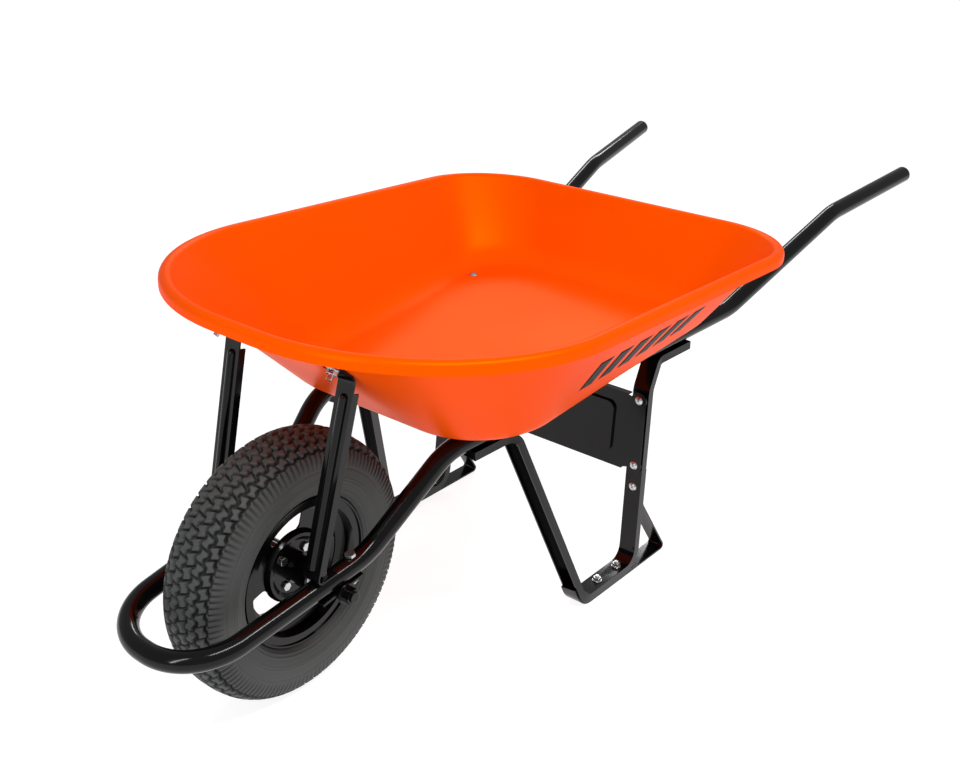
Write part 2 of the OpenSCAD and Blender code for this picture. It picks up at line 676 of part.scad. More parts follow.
// ---- wheel ----
hub_r = bearing_d / 2 + 5;
module bearing_outer_rings() {
    color(zinc) at_axle() left_and_right()
        across(bearing_y) ring(bearing_d / 2, inner_ring_r + spin_gap, bearing_w);
}
disc_in = 12;
disc_t = 3;
flange_t = 4;
hub_flange_r = hub_r + 17;
rim_bolt_at = 38;
rim_bolt_r = hub_r + 8;
module rim_bolt_ring(y) {
    for (i = [0 : rim_bolt_n - 1]) across(y) rotate([0, 0, -rim_bolt_at - i * 360 / rim_bolt_n])
        translate([rim_bolt_r, 0, 0]) children();
}
module rim_bolt_holes() {
    rim_bolt_ring(-10) cylinder(r = small_bolt_d / 2 + hole_gap, h = 40);
}
module hub_tube() {
    color(gloss_black) at_axle() difference() {
        union() {
            across(-hub_len / 2) cylinder(r = hub_r, h = hub_len);
            across(disc_in + 4 - disc_t - seat_gap - flange_t)
                cylinder(r = hub_flange_r, h = flange_t);
        }
        rim_bolt_holes();
        across(-hub_len) cylinder(r = bearing_d / 2 - 2, h = 2 * hub_len);
        left_and_right() across(bearing_y - 0.1) cylinder(r = bearing_d / 2 + 0.05, h = 40);
    }
}
half_rim = rim_w / 2;
seat_r = flange_r - 12.5;
drop_r = seat_r - 14;
rim_curl = 5;
valve_angle = -107;
rim_profile = [
    [flange_r, half_rim + rim_curl], [flange_r, half_rim], [seat_r, half_rim], [seat_r, 17],
    [drop_r, 12], [drop_r, -12], [seat_r, -17], [seat_r, -half_rim], [flange_r, -half_rim],
    [flange_r, -half_rim - rim_curl], [flange_r - rim_t, -half_rim - rim_curl],
    [flange_r - rim_t, -half_rim - rim_t], [seat_r - rim_t, -half_rim - rim_t],
    [seat_r - rim_t, -18], [drop_r - rim_t, -13], [drop_r - rim_t, 13], [seat_r - rim_t, 18],
    [seat_r - rim_t, half_rim + rim_t], [flange_r - rim_t, half_rim + rim_t],
    [flange_r - rim_t, half_rim + rim_curl]];
disc_line = [[hub_r + 0.1, disc_in + 4], [hub_r + 18, disc_in + 4], [hub_r + 24, disc_in + 8],
    [hub_r + 29, disc_in + 8], [hub_r + 34, disc_in], [drop_r - rim_t + 0.3, disc_in]];
disc_profile = concat(disc_line, [for (i = [len(disc_line) - 1 : -1 : 0])
    disc_line[i] - [0, disc_t]]);
window_in = hub_r + 33;
window_span = 54;
window_at = 77;
window_corner = 8;
// Ring sector between two radii, reaching half degrees to both sides of X
module sector(inner, outer, half) {
    far = outer * 1.3;
    intersection() {
        difference() {
            circle(r = outer);
            circle(r = inner);
        }
        polygon([[0, 0], [far * cos(half), -far * sin(half)], [far * 1.2, 0],
            [far * cos(half), far * sin(half)]]);
    }
}
module window_shape() {
    low = window_in + window_corner;
    high = drop_r - rim_t - 1.5 - window_corner;
    half = window_span / 2;
    sector(low, high, half);
    sector(window_in, high + window_corner, half - asin(window_corner / low));
    for (r = [low, high], side = [-1, 1])
        rotate([0, 0, side * (half - asin(window_corner / r))]) translate([r, 0])
            circle(r = window_corner - 0.02);
}
module rim() {
    color(gloss_black) at_axle() difference() {
        across(0) union() {
            rotate_extrude($fn = 128) polygon(rim_profile);
            rotate_extrude($fn = 128) polygon(disc_profile);
        }
        for (i = [0 : windows - 1]) across(-6)
            rotate([0, 0, -window_at - i * 360 / windows]) linear_extrude(40) window_shape();
        valve_hole(5);
        rim_bolt_holes();
    }
}
module rim_bolts() {
    color(zinc) at_axle() rim_bolt_ring(disc_in + 4 + seat_gap)
        hex_bolt(small_bolt_d, disc_t + flange_t + small_bolt_d + 3);
}
module rim_nuts() {
    color(zinc) at_axle() rim_bolt_ring(disc_in + 4 - disc_t - flange_t - 2 * seat_gap)
        mirror([0, 0, 1]) hex_nut(small_bolt_d, 0.9);
}
module valve_way(from, to, r) {
    dir = [cos(valve_angle), 0, sin(valve_angle)];
    rod([0, 0, axle_z] + dir * from, dir, to - from, r);
}
module valve_hole(r) { valve_way(drop_r - 10, drop_r + 10, r); }
wide_r = (flange_r + tyre_d / 2) / 2 - 8;
// Half profile of a tyre skin from the crown to the bead, as [radius, y]
function tyre_skin(crown, half, low, bead_y) = concat(
    [for (a = [0 : 7.5 : 90])
        [wide_r + (crown - wide_r) * pow(abs(cos(a)), 0.6), half * pow(sin(a), 0.8)]],
    [for (b = [15 : 15 : 90])
        [wide_r - (wide_r - low) * sin(b), bead_y + (half - bead_y) * cos(b)]]);
tyre_out = tyre_skin(tyre_d / 2, tyre_w / 2, flange_r + 1, half_rim - 0.3);
tyre_in = tyre_skin(tyre_d / 2 - 16, tyre_w / 2 - 6, seat_r + 14, half_rim - 12);
bead = [[seat_r + 0.3, half_rim - 0.3], [seat_r + 0.3, half_rim - 14]];
function backwards(p) = [for (i = [len(p) - 1 : -1 : 0]) p[i]];
tyre_half = concat(tyre_out, bead, backwards(tyre_in));
tyre_left_out = concat(tyre_out, bead);
function mirrored(p) = [for (q = backwards(p)) [q[0], -q[1]]];
tyre_outer = concat(mirrored([for (i = [1 : len(tyre_left_out) - 1]) tyre_left_out[i]]),
    tyre_left_out);
tyre_inner = concat(backwards(tyre_in),
    [for (i = [1 : len(tyre_in) - 1]) [tyre_in[i][0], -tyre_in[i][1]]]);
module tyre() {
    color(rubber) at_axle() across(0) rotate_extrude($fn = 128)
        polygon(concat(tyre_outer, tyre_inner));
}
tube_mid = wide_r + 2;
tube_fat = 30;
module inner_tube() {
    color(rubber) at_axle() across(0) rotate_extrude($fn = 96) translate([tube_mid, 0])
        difference() {
            circle(r = tube_fat);
            circle(r = tube_fat - 2);
        }
}
stem_in = drop_r - 24;
module valve_stem() {
    color(rubber) at_axle() {
        valve_way(stem_in, tube_mid - tube_fat - 0.1, 4);
    }
}
module valve_cap() {
    color(rubber) at_axle() difference() {
        valve_way(stem_in - 4, stem_in + 9, 5.5);
        valve_way(stem_in - 0.1, stem_in + 12, 4.1);
    }
}

tray();
frame_tube();
handle_cap_left();
handle_cap_right();
front_brace_left();
front_brace_right();
brace_bolts();
brace_nuts();
leg_left();
leg_right();
skid_left();
skid_right();
skid_bolts();
skid_nuts();
cross_plate();
plate_bolts();
plate_nuts();
tray_bolts();
tray_nuts();
axle_bracket_left();
axle_bracket_right();
bracket_bolts();
bracket_nuts();
axle();
axle_nuts();
axle_washers();
axle_spacers();
bearing_inner_rings();
hub_tube();
bearing_outer_rings();
rim();
rim_bolts();
rim_nuts();
tyre();
inner_tube();
valve_stem();
valve_cap();
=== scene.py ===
import bpy
import bmesh
import math
import numpy as np
from mathutils import Matrix, Vector


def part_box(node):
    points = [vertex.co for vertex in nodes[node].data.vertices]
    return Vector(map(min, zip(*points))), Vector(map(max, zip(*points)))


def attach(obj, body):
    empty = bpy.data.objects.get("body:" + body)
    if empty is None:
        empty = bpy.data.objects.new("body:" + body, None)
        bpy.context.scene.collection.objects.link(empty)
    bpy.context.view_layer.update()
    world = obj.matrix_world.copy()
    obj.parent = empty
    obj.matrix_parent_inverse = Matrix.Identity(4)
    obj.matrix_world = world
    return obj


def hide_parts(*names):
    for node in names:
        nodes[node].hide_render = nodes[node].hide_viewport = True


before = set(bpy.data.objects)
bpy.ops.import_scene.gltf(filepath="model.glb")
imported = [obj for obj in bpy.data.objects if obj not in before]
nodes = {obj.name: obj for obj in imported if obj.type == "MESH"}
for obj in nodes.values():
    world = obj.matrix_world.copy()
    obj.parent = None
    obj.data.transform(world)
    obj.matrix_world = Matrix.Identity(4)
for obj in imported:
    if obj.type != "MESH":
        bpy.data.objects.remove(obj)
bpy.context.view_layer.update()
scene = bpy.context.scene
print("frame loaded,", len(nodes), "nodes")

mm = 0.001
weldGap = 0.001     # millimetres: points nearer than this are merged
flatAngle = 0.6     # degrees: faces nearer to flat than this are joined up
edgeAngle = 32      # degrees: edges sharper than this are rounded
creaseAngle = 50    # degrees: smooth shading stops at edges sharper than this
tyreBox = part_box("tyre")
axleX = (tyreBox[0][0] + tyreBox[1][0]) / 2
axleZ = (tyreBox[0][2] + tyreBox[1][2]) / 2


# small helpers

def toLinear(hexColour):
    # sRGB hex to linear: the low end divided by 12.92, the rest to the power 2.4
    c = np.array([int(hexColour[i:i + 2], 16) for i in (0, 2, 4)]) / 255
    c = np.where(c <= 0.04045, c / 12.92, ((c + 0.055) / 1.055) ** 2.4)
    return (float(c[0]), float(c[1]), float(c[2]), 1.0)


def addNode(tree, kind, inputs=None, **settings):
    # an input is a plain value, or an output socket to link from
    n = tree.nodes.new(kind)
    for name, value in settings.items():
        setattr(n, name, value)
    for name, value in (inputs or {}).items():
        if isinstance(value, bpy.types.NodeSocket):
            tree.links.new(value, n.inputs[name])
        else:
            n.inputs[name].default_value = value
    return n


def newMaterial(name):
    mat = bpy.data.materials.new(name)
    mat.use_nodes = True
    mat.node_tree.nodes.clear()
    return mat, mat.node_tree


def newMesh(name, points, faces, smooth=True):
    mesh = bpy.data.meshes.new(name)
    mesh.from_pydata(np.asarray(points).reshape(-1, 3).tolist(), [], [list(map(int, f)) for f in faces])
    mesh.polygons.foreach_set("use_smooth", [smooth] * len(mesh.polygons))
    mesh.update()
    obj = bpy.data.objects.new(name, mesh)
    scene.collection.objects.link(obj)
    return obj


def gridFaces(rows, cols, wrapCols=True, wrapRows=False):
    # each cell joins point (r, c) to its neighbours along both ways of the grid
    r = np.arange(rows if wrapRows else rows - 1)
    c = np.arange(cols if wrapCols else cols - 1)
    a, b = np.meshgrid(r, c, indexing="ij")
    a2, b2 = (a + 1) % rows, (b + 1) % cols
    return np.stack([a * cols + b, a * cols + b2, a2 * cols + b2, a2 * cols + b], -1).reshape(-1, 4)


def facesOut(obj):
    # doubled points merged and every face turned outwards
    bm = bmesh.new()
    bm.from_mesh(obj.data)
    bmesh.ops.remove_doubles(bm, verts=bm.verts, dist=weldGap * mm)
    bmesh.ops.recalc_face_normals(bm, faces=bm.faces)
    bm.to_mesh(obj.data)
    bm.free()


def unit(v):
    return v / np.linalg.norm(v, axis=-1, keepdims=True)


def softEdges(obj, width, angle):
    # edges sharper than the angle are rounded to the width, the rest shaded smooth
    if width > 0:
        bevel = obj.modifiers.new("rolledEdge", "BEVEL")
        bevel.width = width * mm
        bevel.segments = 2
        bevel.limit_method = "ANGLE"
        bevel.angle_limit = math.radians(angle)
        bevel.harden_normals = False
        bevel.use_clamp_overlap = True
    bm = bmesh.new()
    bm.from_mesh(obj.data)
    limit = math.radians(angle)
    for edge in bm.edges:
        edge.smooth = len(edge.link_faces) == 2 and edge.calc_face_angle(0) < limit
    for face in bm.faces:
        face.smooth = True
    bm.to_mesh(obj.data)
    bm.free()


def finishedCopy(node, material, width, body):
    # a merged copy of the CAD node's mesh, flats joined up, then its edges rounded
    source = nodes[node]
    mesh = source.data.copy()
    mesh.name = node + "Finished"
    obj = bpy.data.objects.new(node + "Finished", mesh)
    scene.collection.objects.link(obj)
    bm = bmesh.new()
    bm.from_mesh(mesh)
    bmesh.ops.transform(bm, matrix=source.matrix_world, verts=bm.verts)
    bmesh.ops.remove_doubles(bm, verts=bm.verts, dist=2 * weldGap * mm)
    bmesh.ops.dissolve_limit(bm, angle_limit=math.radians(flatAngle), verts=bm.verts, edges=bm.edges)
    bm.to_mesh(mesh)
    bm.free()
    mesh.materials.clear()
    mesh.materials.append(material)
    softEdges(obj, width, edgeAngle)
    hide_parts(node)
    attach(obj, body)
    return obj


# materials

def powderCoatOrange():
    # polyester powder coat on pressed steel: even, with a faint orange-peel ripple, and a little
    # metal in the mix so that its gloss stays as orange as its colour
    look = {
        "colour": "FF5A00", "shade": "FB5300", "roughness": 0.34, "peel": 3.2, "cloud": 180,
        "gloss": 0.03, "glossColour": "FF7020", "metal": 0.22, "ripple": 0.05, "rippleHigh": 0.6,
        "smoother": 0.04, "rougher": 0.06,
    }
    mat, tree = newMaterial("powderCoatOrange")
    place = addNode(tree, "ShaderNodeTexCoord").outputs["Object"]
    cloud = addNode(tree, "ShaderNodeTexNoise", {
        "Vector": place, "Scale": 1 / (look["cloud"] * mm), "Detail": 2.0})
    colour = addNode(tree, "ShaderNodeMixRGB", {
        "Fac": cloud.outputs["Fac"], "Color1": toLinear(look["colour"]),
        "Color2": toLinear(look["shade"])})
    peel = addNode(tree, "ShaderNodeTexNoise", {
        "Vector": place, "Scale": 1 / (look["peel"] * mm), "Detail": 1.0})
    bump = addNode(tree, "ShaderNodeBump", {
        "Height": peel.outputs["Fac"], "Strength": look["ripple"], "Distance": look["rippleHigh"] * mm})
    rough = addNode(tree, "ShaderNodeMapRange", {
        "Value": cloud.outputs["Fac"], "To Min": look["roughness"] - look["smoother"],
        "To Max": look["roughness"] + look["rougher"]})
    shader = addNode(tree, "ShaderNodeBsdfPrincipled", {
        "Base Color": colour.outputs[0], "Roughness": rough.outputs[0], "Normal": bump.outputs[0],
        "IOR": 1.5, "Specular IOR Level": look["gloss"],
        "Specular Tint": toLinear(look["glossColour"]), "Metallic": look["metal"]})
    addNode(tree, "ShaderNodeOutputMaterial", {"Surface": shader.outputs[0]})
    return mat


def powderCoatBlack():
    # glossy black powder coat on tube and strip: deep black, sharp highlights, fine ripple
    look = {
        "colour": "030303", "shade": "070708", "roughness": 0.13, "peel": 2.6, "cloud": 90,
        "gloss": 0.27, "ripple": 0.05, "rippleHigh": 0.5, "smoother": 0.04, "rougher": 0.05,
    }
    mat, tree = newMaterial("powderCoatBlack")
    place = addNode(tree, "ShaderNodeTexCoord").outputs["Object"]
    cloud = addNode(tree, "ShaderNodeTexNoise", {
        "Vector": place, "Scale": 1 / (look["cloud"] * mm), "Detail": 3.0})
    colour = addNode(tree, "ShaderNodeMixRGB", {
        "Fac": cloud.outputs["Fac"], "Color1": toLinear(look["colour"]),
        "Color2": toLinear(look["shade"])})
    peel = addNode(tree, "ShaderNodeTexNoise", {
        "Vector": place, "Scale": 1 / (look["peel"] * mm), "Detail": 1.0})
    bump = addNode(tree, "ShaderNodeBump", {
        "Height": peel.outputs["Fac"], "Strength": look["ripple"], "Distance": look["rippleHigh"] * mm})
    rough = addNode(tree, "ShaderNodeMapRange", {
        "Value": cloud.outputs["Fac"], "To Min": look["roughness"] - look["smoother"],
        "To Max": look["roughness"] + look["rougher"]})
    shader = addNode(tree, "ShaderNodeBsdfPrincipled", {
        "Base Color": colour.outputs[0], "Roughness": rough.outputs[0], "Normal": bump.outputs[0],
        "IOR": 1.5, "Specular IOR Level": look["gloss"]})
    addNode(tree, "ShaderNodeOutputMaterial", {"Surface": shader.outputs[0]})
    return mat


def zincPlate():
    # bright zinc plating on steel fasteners: cool metal with faint blotches from the bath
    look = {
        "light": "D9DBDD", "dark": "A9ADB1", "roughness": 0.24, "blotch": 4,
        "smoother": 0.06, "rougher": 0.1,
    }
    mat, tree = newMaterial("zincPlate")
    place = addNode(tree, "ShaderNodeTexCoord").outputs["Object"]
    blotch = addNode(tree, "ShaderNodeTexNoise", {
        "Vector": place, "Scale": 1 / (look["blotch"] * mm), "Detail": 3.0})
    colour = addNode(tree, "ShaderNodeMixRGB", {
        "Fac": blotch.outputs["Fac"], "Color1": toLinear(look["light"]),
        "Color2": toLinear(look["dark"])})
    rough = addNode(tree, "ShaderNodeMapRange", {
        "Value": blotch.outputs["Fac"], "To Min": look["roughness"] - look["smoother"],
        "To Max": look["roughness"] + look["rougher"]})
    shader = addNode(tree, "ShaderNodeBsdfPrincipled", {
        "Base Color": colour.outputs[0], "Metallic": 1.0, "Roughness": rough.outputs[0]})
    addNode(tree, "ShaderNodeOutputMaterial", {"Surface": shader.outputs[0]})
    return mat


def mouldedRubber(name, colour, grooveShadeColour, dust, roughness):
    # vulcanised carbon-black rubber: matt dark grey, a fine mould grain, and painted shade that makes it
    # near black down in its grooves
    look = {
        "grain": 1.4, "grainHigh": 0.4, "grainShare": 0.25, "cloud": 60, "dustShare": 0.25, "gloss": 0.4,
        "smoother": 0.06, "rougher": 0.08,
    }
    mat, tree = newMaterial(name)
    place = addNode(tree, "ShaderNodeTexCoord").outputs["Object"]
    cloud = addNode(tree, "ShaderNodeTexNoise", {
        "Vector": place, "Scale": 1 / (look["cloud"] * mm), "Detail": 4.0})
    # painted shade: where the stored share is low the groove colour takes over, standing in for the shade
    # that falls down in the grooves
    grooveShadeMask = addNode(tree, "ShaderNodeAttribute", attribute_name="height")
    withGrooveShade = addNode(tree, "ShaderNodeMixRGB", {
        "Fac": grooveShadeMask.outputs["Fac"], "Color1": toLinear(grooveShadeColour), "Color2": toLinear(colour)})
    dusty = addNode(tree, "ShaderNodeMixRGB", {
        "Fac": cloud.outputs["Fac"], "Color1": withGrooveShade.outputs[0], "Color2": toLinear(dust)})
    worn = addNode(tree, "ShaderNodeMixRGB", {
        "Fac": look["dustShare"], "Color1": withGrooveShade.outputs[0], "Color2": dusty.outputs[0]})
    grain = addNode(tree, "ShaderNodeTexNoise", {
        "Vector": place, "Scale": 1 / (look["grain"] * mm), "Detail": 4.0})
    bump = addNode(tree, "ShaderNodeBump", {
        "Height": grain.outputs["Fac"], "Strength": look["grainShare"],
        "Distance": look["grainHigh"] * mm})
    rough = addNode(tree, "ShaderNodeMapRange", {
        "Value": cloud.outputs["Fac"], "To Min": roughness - look["smoother"],
        "To Max": roughness + look["rougher"]})
    shader = addNode(tree, "ShaderNodeBsdfPrincipled", {
        "Base Color": worn.outputs[0], "Roughness": rough.outputs[0], "Normal": bump.outputs[0],
        "IOR": 1.52, "Specular IOR Level": look["gloss"]})
    addNode(tree, "ShaderNodeOutputMaterial", {"Surface": shader.outputs[0]})
    return mat


def mouldedPlastic():
    # injection-moulded polyethylene end caps: dull black with a soft edge light and a fine grain
    look = {
        "colour": "101011", "grain": 0.9, "grainHigh": 0.3, "grainShare": 0.15, "roughness": 0.45,
        "smoother": 0.05, "rougher": 0.08,
    }
    mat, tree = newMaterial("mouldedPlastic")
    place = addNode(tree, "ShaderNodeTexCoord").outputs["Object"]
    grain = addNode(tree, "ShaderNodeTexNoise", {
        "Vector": place, "Scale": 1 / (look["grain"] * mm), "Detail": 2.0})
    bump = addNode(tree, "ShaderNodeBump", {
        "Height": grain.outputs["Fac"], "Strength": look["grainShare"],
        "Distance": look["grainHigh"] * mm})
    rough = addNode(tree, "ShaderNodeMapRange", {
        "Value": grain.outputs["Fac"], "To Min": look["roughness"] - look["smoother"],
        "To Max": look["roughness"] + look["rougher"]})
    shader = addNode(tree, "ShaderNodeBsdfPrincipled", {
        "Base Color": toLinear(look["colour"]), "Roughness": rough.outputs[0],
        "Normal": bump.outputs[0], "IOR": 1.5})
    addNode(tree, "ShaderNodeOutputMaterial", {"Surface": shader.outputs[0]})
    return mat


def vinylDecal():
    # cut vinyl film: flat black with a slight satin sheen and a barely uneven gloss
    look = {
        "colour": "060608", "roughness": 0.45, "patch": 12, "gloss": 0.1,
        "smoother": 0.06, "rougher": 0.08,
    }
    mat, tree = newMaterial("vinylDecal")
    place = addNode(tree, "ShaderNodeTexCoord").outputs["Object"]
    patch = addNode(tree, "ShaderNodeTexNoise", {
        "Vector": place, "Scale": 1 / (look["patch"] * mm), "Detail": 2.0})
    rough = addNode(tree, "ShaderNodeMapRange", {
        "Value": patch.outputs["Fac"], "To Min": look["roughness"] - look["smoother"],
        "To Max": look["roughness"] + look["rougher"]})
    shader = addNode(tree, "ShaderNodeBsdfPrincipled", {
        "Base Color": toLinear(look["colour"]), "Roughness": rough.outputs[0], "IOR": 1.46,
        "Specular IOR Level": look["gloss"]})
    addNode(tree, "ShaderNodeOutputMaterial", {"Surface": shader.outputs[0]})
    return mat


orangePaint = powderCoatOrange()
blackPaint = powderCoatBlack()
zinc = zincPlate()
# the tyre's second colour, near black, is painted shade for its grooves; the butyl tube's is its own
# colour, so it gets none
tyreRubber = mouldedRubber("tyreRubber", "3A3C3B", "040404", "4E504F", 0.58)
tubeRubber = mouldedRubber("butylRubber", "1E1F1F", "1E1F1F", "2A2B2B", 0.5)
plastic = mouldedPlastic()
vinyl = vinylDecal()
print("materials made")


# frame rail, shared by the tube and the tray

# millimetres from the axle: x forward, y left, z up from the ground
rail = {
    "tubeR": 15.0, "noseTip": (252, 88), "kneeTip": (-54, 103), "noseSlope": 9.2, "underAtAxle": 208.2,
    "deckFront": (-190, 130, 352), "deckBack": (-840, 225, 422),
    "handleBend": (-1153, 260.5, 538), "handleEnd": (-1395, 295, 574),
    "radii": (88, 100, 90, 150, 150), "bendSteps": 24, "sides": 48,
}
noseSlope = math.tan(math.radians(rail["noseSlope"]))
railZ0 = rail["underAtAxle"] + rail["tubeR"] * math.sqrt(1 + noseSlope ** 2)
for corner in ("nose", "knee"):
    x, y = rail[corner + "Tip"]
    rail[corner] = (x, y, railZ0 - x * noseSlope)
deckRun = rail["deckFront"][0] - rail["deckBack"][0]
deckSlope = (rail["deckBack"][2] - rail["deckFront"][2]) / deckRun
deckStretch = math.sqrt(1 + deckSlope ** 2)


def deckZ(x):
    # height of the rails' centre line under the tray
    return rail["deckFront"][2] + deckSlope * (rail["deckFront"][0] - x)


def roundedPath(points, radii, steps):
    # each corner is swapped for an arc of its radius, tangent to both straights
    p = [np.array(q, float) for q in points]
    out = [p[0]]
    for i in range(1, len(p) - 1):
        d, e = unit(p[i] - p[i - 1]), unit(p[i + 1] - p[i])
        turn = math.acos(np.clip(d @ e, -1, 1))
        r = radii[i - 1]
        centre = p[i] + unit(e - d) * r / math.cos(turn / 2)
        x = unit(p[i] - d * r * math.tan(turn / 2) - centre)
        a = np.linspace(0, turn, steps + 1)[:, None]
        out.extend(centre + r * (np.cos(a) * x + np.sin(a) * d))
    out.append(p[-1])
    return np.array(out)


def sweptRound(path, radius, sides):
    # a circle carried along the path, square to it, its first spoke kept level
    tangent = unit(np.gradient(path, axis=0))
    level = unit(np.cross([0, 0, 1.0], tangent))
    over = np.cross(tangent, level)
    a = np.arange(sides) * 2 * np.pi / sides
    ring = level[:, None] * np.cos(a)[None, :, None] + over[:, None] * np.sin(a)[None, :, None]
    points = path[:, None] + radius * ring
    faces = gridFaces(len(path), sides).tolist()
    last = (len(path) - 1) * sides
    faces += [list(range(sides))[::-1], list(range(last, last + sides))]
    return points, faces


def toWorld(points):
    # from millimetres measured at the axle to the frame's metres
    p = np.asarray(points, float).reshape(-1, 3) * mm
    p[:, 0] += axleX
    return p


def makeFrameTube():
    # one tube from the left handle round the nose and back, mirrored about the middle
    half = [rail[k] for k in ("handleEnd", "handleBend", "deckBack", "deckFront", "knee", "nose")]
    other = [(x, -y, z) for x, y, z in half[::-1]]
    radii = list(rail["radii"][::-1])
    path = roundedPath(half + other, radii + radii[::-1], rail["bendSteps"])
    points, faces = sweptRound(path, rail["tubeR"], rail["sides"])
    obj = newMesh("frameTube", toWorld(points), faces)
    facesOut(obj)
    softEdges(obj, 0, creaseAngle)
    obj.data.materials.append(blackPaint)
    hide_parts("frame_tube")
    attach(obj, "barrow")


makeFrameTube()
print("frame tube swept")


# tray

tray = {
    "frontX": 90, "backX": -868, "width": 706, "frontRim": 580, "backRim": 562,
    "rimFrontR": 317, "rimBackR": 159, "sheet": 1.5, "lipR": 10.5, "lipDrop": 8,
    "floorFrontX": -185, "floorBackX": -778, "floorFrontW": 218, "floorBackW": 240,
    "floorFrontR": 120, "floorBackR": 105, "fold": 34, "aboveTube": 0.2, "lipTurn": 150,
    "cornerSteps": 28, "sideSteps": 36, "endSteps": 12, "wallSteps": 14, "foldSteps": 8, "lipSteps": 14,
    "floorRings": (0.02, 0.35, 0.7, 0.9),
}


def outline(xf, xb, wf, wb, rf, rb):
    # half of a rounded box in plan, front arc, leaning side, back arc, then its mirror image
    lean = math.atan((wb - wf) / (xf - xb))
    cf, cb = xf - rf, xb + rb
    yf = wf - (rf - (xf - cf) * math.sin(lean)) / math.cos(lean)
    yb = wf + (-rb + (xf - cb) * math.sin(lean)) / math.cos(lean)
    a = np.linspace(0, math.pi / 2 - lean, tray["cornerSteps"] + 1)
    front = np.stack([cf + rf * np.cos(a), yf + rf * np.sin(a)], 1)
    a = np.linspace(math.pi / 2 - lean, math.pi, tray["cornerSteps"] + 1)
    back = np.stack([cb + rb * np.cos(a), yb + rb * np.sin(a)], 1)
    t = np.linspace(0, 1, tray["sideSteps"] + 2)[1:-1, None]
    side = front[-1] + (back[0] - front[-1]) * t
    t = np.linspace(0, 1, tray["endSteps"] + 2)[1:-1, None]
    half = np.concatenate([front, side, back])
    tail = half[-1] + (half[-1] * [1, -1] - half[-1]) * t
    mirror = half[::-1] * [1, -1]
    nose = mirror[-1] + (half[0] - mirror[-1]) * t
    return np.concatenate([half, tail, mirror, nose])


def trayGrid():
    # rings of points: straight shares across the floor, a quadratic curve through the fold, straight
    # shares up the wall, then an arc and a short drop for the lip
    lipW = 2 * tray["lipR"]
    halfMouth = tray["width"] / 2 - lipW
    rim = outline(tray["frontX"] - lipW, tray["backX"] + lipW, halfMouth, halfMouth,
        tray["rimFrontR"] - lipW, tray["rimBackR"] - lipW)
    floor = outline(tray["floorFrontX"], tray["floorBackX"], tray["floorFrontW"], tray["floorBackW"],
        tray["floorFrontR"], tray["floorBackR"])
    length = tray["frontX"] - tray["backX"]
    rise = tray["backRim"] - tray["frontRim"]
    rimZ = tray["frontRim"] + rise * (tray["frontX"] - rim[:, 0]) / length
    floorLift = (rail["tubeR"] + tray["aboveTube"] + tray["sheet"]) * deckStretch
    floorZ = deckZ(floor[:, 0]) + floorLift
    top = np.column_stack([rim, rimZ])
    foot = np.column_stack([floor, floorZ])
    centre = np.array([(tray["floorFrontX"] + tray["floorBackX"]) / 2, 0.0])
    inner = floor + unit(centre - floor) * tray["fold"]
    inner = np.column_stack([inner, deckZ(inner[:, 0]) + floorLift])
    mid = np.array([centre[0], 0, deckZ(centre[0]) + floorLift])
    wall = foot + unit(top - foot) * tray["fold"]
    rows = [mid + (inner - mid) * s for s in tray["floorRings"]]
    for s in np.linspace(0, 1, tray["foldSteps"] + 1):
        rows.append((1 - s) ** 2 * inner + 2 * s * (1 - s) * foot + s * s * wall)
    for s in np.linspace(0, 1, tray["wallSteps"] + 1)[1:-1]:
        rows.append(wall + (top - wall) * s)
    around = unit(np.roll(rim, -1, 0) - np.roll(rim, 1, 0))
    out = np.column_stack([around[:, 1], -around[:, 0], np.zeros(len(rim))])
    lipR, start = tray["lipR"], math.radians(tray["lipTurn"])
    for a in start * (1 - np.linspace(0, 1, tray["lipSteps"] + 1)):
        rows.append(top + out * (lipR + lipR * math.cos(a) - lipR * (1 + math.cos(start)))
            + np.array([0, 0, lipR * (math.sin(a) - math.sin(start))]))
    rows.append(rows[-1] - np.array([0, 0, tray["lipDrop"]]))
    return np.array(rows)


def makeTray():
    # the inner skin as a grid of rings, from the middle of the floor up the wall and round the lip,
    # and the outer skin one sheet away along the grid's normals
    grid = trayGrid()
    alongRing = np.roll(grid, -1, 1) - np.roll(grid, 1, 1)
    alongRow = np.gradient(grid, axis=0)
    normal = unit(np.cross(alongRing, alongRow))
    outer = grid + normal * tray["sheet"]
    rows, cols = grid.shape[:2]
    up = gridFaces(rows, cols)
    base = rows * cols
    down = up[:, ::-1] + base
    c = np.arange(cols)
    last = (rows - 1) * cols
    ahead = (c + 1) % cols
    edge = np.stack([last + c, last + ahead, base + last + ahead, base + last + c], 1)
    faces = up.tolist() + down.tolist() + edge.tolist()
    faces += [list(range(cols))[::-1], (base + c).tolist()]
    obj = newMesh("trayPressing", toWorld(np.stack([grid, outer])), faces)
    facesOut(obj)
    obj.data.materials.append(orangePaint)
    softEdges(obj, 0, creaseAngle)
    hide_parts("tray")
    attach(obj, "barrow")
    return grid, normal


trayInner, trayNormal = makeTray()
print("tray pressed")


# side stripes

stripes = {
    "from": 0.10, "to": 0.80, "count": 6, "low": 0.20, "high": 0.50, "slant": 0.055, "gap": 0.34,
    "film": 0.12, "offSheet": 0.12, "steps": (10, 6),
}


def wallPoint(t, share, side):
    # a point on the tray's outside: t runs back along the straight side, share runs up the wall
    lowRow = len(tray["floorRings"]) + tray["foldSteps"]
    row = lowRow + share * tray["wallSteps"]
    col = tray["cornerSteps"] + t * (tray["sideSteps"] + 1)
    a, b = np.floor(col).astype(int), np.floor(row).astype(int)
    fa, fb = (col - a)[..., None], (row - b)[..., None]
    skin = trayInner + trayNormal * (tray["sheet"] + stripes["offSheet"])
    point = ((skin[b, a] * (1 - fa) + skin[b, a + 1] * fa) * (1 - fb)
        + (skin[b + 1, a] * (1 - fa) + skin[b + 1, a + 1] * fa) * fb)
    return point * [1, side, 1]


